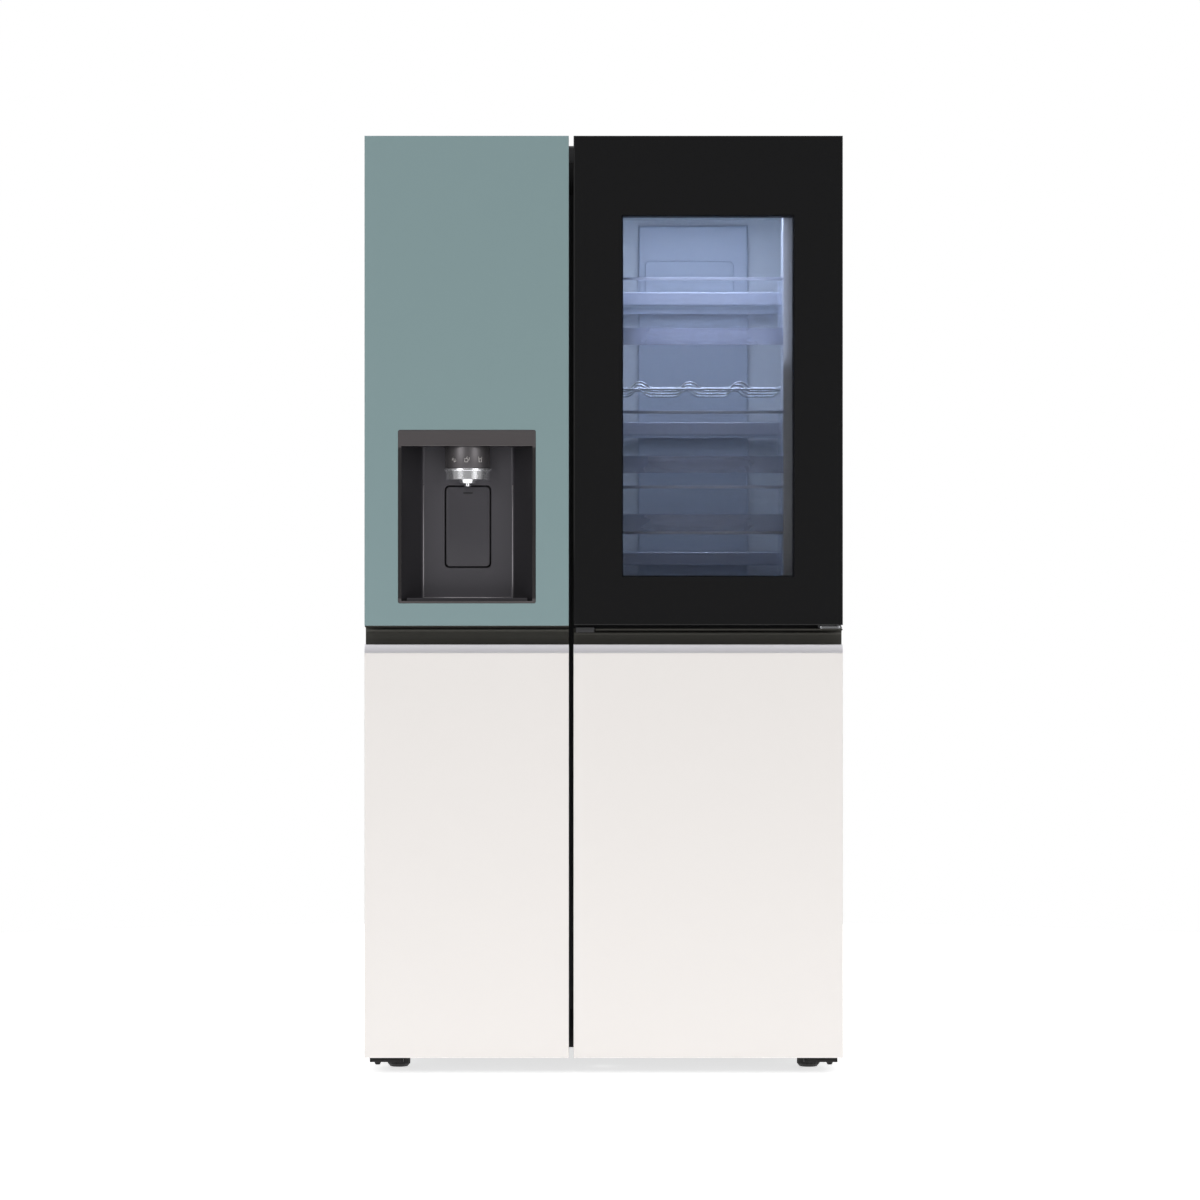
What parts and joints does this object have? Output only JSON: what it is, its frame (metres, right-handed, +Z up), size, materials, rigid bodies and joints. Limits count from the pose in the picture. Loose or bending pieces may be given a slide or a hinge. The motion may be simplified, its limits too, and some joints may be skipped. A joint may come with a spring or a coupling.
{
  "type": "side by side refrigerator",
  "caption": "Tall refrigerator with a narrow freezer beside a wide fridge, a water dispenser, and a windowed outer door over the upper fridge door.",
  "frame": {"origin": "on the floor, under the centre of the bounding box", "axes": "+Z up; the doors face -Y; +X to the viewer's right, towards the fridge side"},
  "size_m": [0.913, 0.735, 1.79],
  "materials": {
    "case_steel": "satin",
    "rear_steel": "satin",
    "foam": "matte",
    "liner_white": "satin",
    "dark_frame": "satin",
    "cover_plastic": "matte",
    "hinge_steel": "polished",
    "hinge_black": "satin",
    "grey_plastic": "matte",
    "compressor_black": "satin",
    "coil_steel": "satin",
    "coil_aluminium": "satin",
    "fan_plastic": "satin",
    "foot_plastic": "matte",
    "roller_plastic": "satin",
    "clear_glass": "gloss",
    "shelf_trim": "gloss",
    "rack_chrome": "polished",
    "duct_grey": "satin",
    "light_lens": "satin",
    "drawer_clear": "gloss",
    "door_foam": "satin",
    "teal_glass": "satin",
    "beige_glass": "satin",
    "black_glass": "gloss",
    "groove_dark": "satin",
    "trim_silver": "satin",
    "gasket_grey": "matte",
    "dispenser_dark": "satin",
    "fascia_grey": "satin",
    "head_grey": "satin",
    "ring_chrome": "polished",
    "tray_grey": "satin"
  },
  "bodies": {
    "cabinet": {"case_shell": "case_steel", "back_panel": "rear_steel", "insulation_foam": "foam", "fridge_liner": "liner_white", "freezer_liner": "liner_white", "base_frame": "dark_frame", "top_cover": "cover_plastic", "door_hinges": "hinge_black", "water_line_block": "grey_plastic", "rear_machine_cover": "cover_plastic", "compressor": "compressor_black", "condenser_coil": "coil_steel", "evaporator_coil": "coil_aluminium", "fridge_shelf_glass": "clear_glass", "fridge_shelf_trims": "shelf_trim", "wine_rack": "rack_chrome", "fridge_air_duct": "duct_grey", "freezer_air_cover": "liner_white", "freezer_shelves": "drawer_clear", "interior_light_lenses": "light_lens"},
    "condenser_fan": {"condenser_fan": "fan_plastic"},
    "evaporator_fan": {"evaporator_fan": "fan_plastic"},
    "levelling_foot_left": {"levelling_foot_left": "foot_plastic"},
    "levelling_foot_right": {"levelling_foot_right": "foot_plastic"},
    "rear_roller_left": {"rear_roller_left": "roller_plastic"},
    "rear_roller_right": {"rear_roller_right": "roller_plastic"},
    "crisper_drawer_upper": {"crisper_drawer_upper": "drawer_clear"},
    "crisper_drawer_lower": {"crisper_drawer_lower": "drawer_clear"},
    "freezer_drawer_upper": {"freezer_drawer_upper": "drawer_clear"},
    "freezer_drawer_lower": {"freezer_drawer_lower": "drawer_clear"},
    "freezer_door": {"freezer_door_body": "door_foam", "freezer_door_liner": "liner_white", "freezer_upper_panel": "teal_glass", "freezer_lower_panel": "beige_glass", "freezer_handle_groove": "groove_dark", "freezer_handle_trim": "trim_silver", "freezer_door_gasket": "gasket_grey", "freezer_door_bins": "drawer_clear", "ice_maker_box": "liner_white", "dispenser_niche": "dispenser_dark", "dispenser_fascia": "fascia_grey", "dispenser_head": "head_grey", "dispenser_ring": "ring_chrome", "dispenser_nozzle": "ring_chrome", "drip_tray": "tray_grey"},
    "dispenser_paddle": {"dispenser_paddle": "dispenser_dark"},
    "fridge_door": {"fridge_door_body": "door_foam", "fridge_door_liner": "liner_white", "fridge_lower_panel": "beige_glass", "fridge_handle_groove": "groove_dark", "fridge_handle_trim": "trim_silver", "fridge_door_gasket": "gasket_grey", "fridge_door_bins": "drawer_clear", "outer_door_hinges": "hinge_steel"},
    "outer_door": {"outer_door_frame": "door_foam", "outer_door_glass": "black_glass", "window_glazing": "clear_glass", "glazing_spacer": "cover_plastic", "outer_door_gasket": "gasket_grey"},
    "outer_door_release": {"outer_door_release": "cover_plastic"}
  },
  "joints": [
    {"name": "freezer_door_hinge", "type": "hinge", "parent": "cabinet", "child": "freezer_door", "pos_m": [-0.4345, -0.3055, 0.9], "axis": [0, 0, -1], "range_deg": [0, 110]},
    {"name": "fridge_door_hinge", "type": "hinge", "parent": "cabinet", "child": "fridge_door", "pos_m": [0.4345, -0.3055, 0.9], "axis": [0, 0, 1], "range_deg": [0, 110]},
    {"name": "outer_door_hinge", "type": "hinge", "parent": "fridge_door", "child": "outer_door", "pos_m": [0.448, -0.355, 1.3], "axis": [0, 0, 1], "range_deg": [0, 105]},
    {"name": "outer_door_release_push", "type": "slide", "parent": "fridge_door", "child": "outer_door_release", "axis": [0, 0, 1], "range_m": [0, 0.003], "stiffness_N_per_m": 400},
    {"name": "dispenser_paddle_push", "type": "hinge", "parent": "freezer_door", "child": "dispenser_paddle", "pos_m": [-0.261, -0.2955, 1.115], "axis": [1, 0, 0], "range_deg": [0, 5.5], "stiffness_Nm_per_rad": 3},
    {"name": "condenser_fan_spin", "type": "hinge", "parent": "cabinet", "child": "condenser_fan", "pos_m": [0.04, 0.25, 0.15], "axis": [1, 0, 0], "continuous": true},
    {"name": "evaporator_fan_spin", "type": "hinge", "parent": "cabinet", "child": "evaporator_fan", "pos_m": [-0.243, 0.24, 1.005], "axis": [0, 1, 0], "continuous": true},
    {"name": "levelling_foot_left_turn", "type": "hinge", "parent": "cabinet", "child": "levelling_foot_left", "pos_m": [-0.397, -0.232, 0.01], "axis": [0, 0, 1], "continuous": true},
    {"name": "levelling_foot_right_turn", "type": "hinge", "parent": "cabinet", "child": "levelling_foot_right", "pos_m": [0.397, -0.232, 0.01], "axis": [0, 0, 1], "continuous": true},
    {"name": "rear_roller_left_roll", "type": "hinge", "parent": "cabinet", "child": "rear_roller_left", "pos_m": [-0.418, 0.3, 0.02], "axis": [1, 0, 0], "continuous": true},
    {"name": "rear_roller_right_roll", "type": "hinge", "parent": "cabinet", "child": "rear_roller_right", "pos_m": [0.418, 0.3, 0.02], "axis": [1, 0, 0], "continuous": true},
    {"name": "crisper_drawer_upper_slide", "type": "slide", "parent": "cabinet", "child": "crisper_drawer_upper", "axis": [0, -1, 0], "range_m": [0, 0.25]},
    {"name": "crisper_drawer_lower_slide", "type": "slide", "parent": "cabinet", "child": "crisper_drawer_lower", "axis": [0, -1, 0], "range_m": [0, 0.25]},
    {"name": "freezer_drawer_upper_slide", "type": "slide", "parent": "cabinet", "child": "freezer_drawer_upper", "axis": [0, -1, 0], "range_m": [0, 0.25]},
    {"name": "freezer_drawer_lower_slide", "type": "slide", "parent": "cabinet", "child": "freezer_drawer_lower", "axis": [0, -1, 0], "range_m": [0, 0.25]}
  ],
  "couplings": [
    {"joint": "crisper_drawer_upper_slide", "follows": "fridge_door_hinge", "m_per_rad": 0.13},
    {"joint": "crisper_drawer_lower_slide", "follows": "fridge_door_hinge", "m_per_rad": 0.13},
    {"joint": "freezer_drawer_upper_slide", "follows": "freezer_door_hinge", "m_per_rad": 0.13},
    {"joint": "freezer_drawer_lower_slide", "follows": "freezer_door_hinge", "m_per_rad": 0.13}
  ]
}
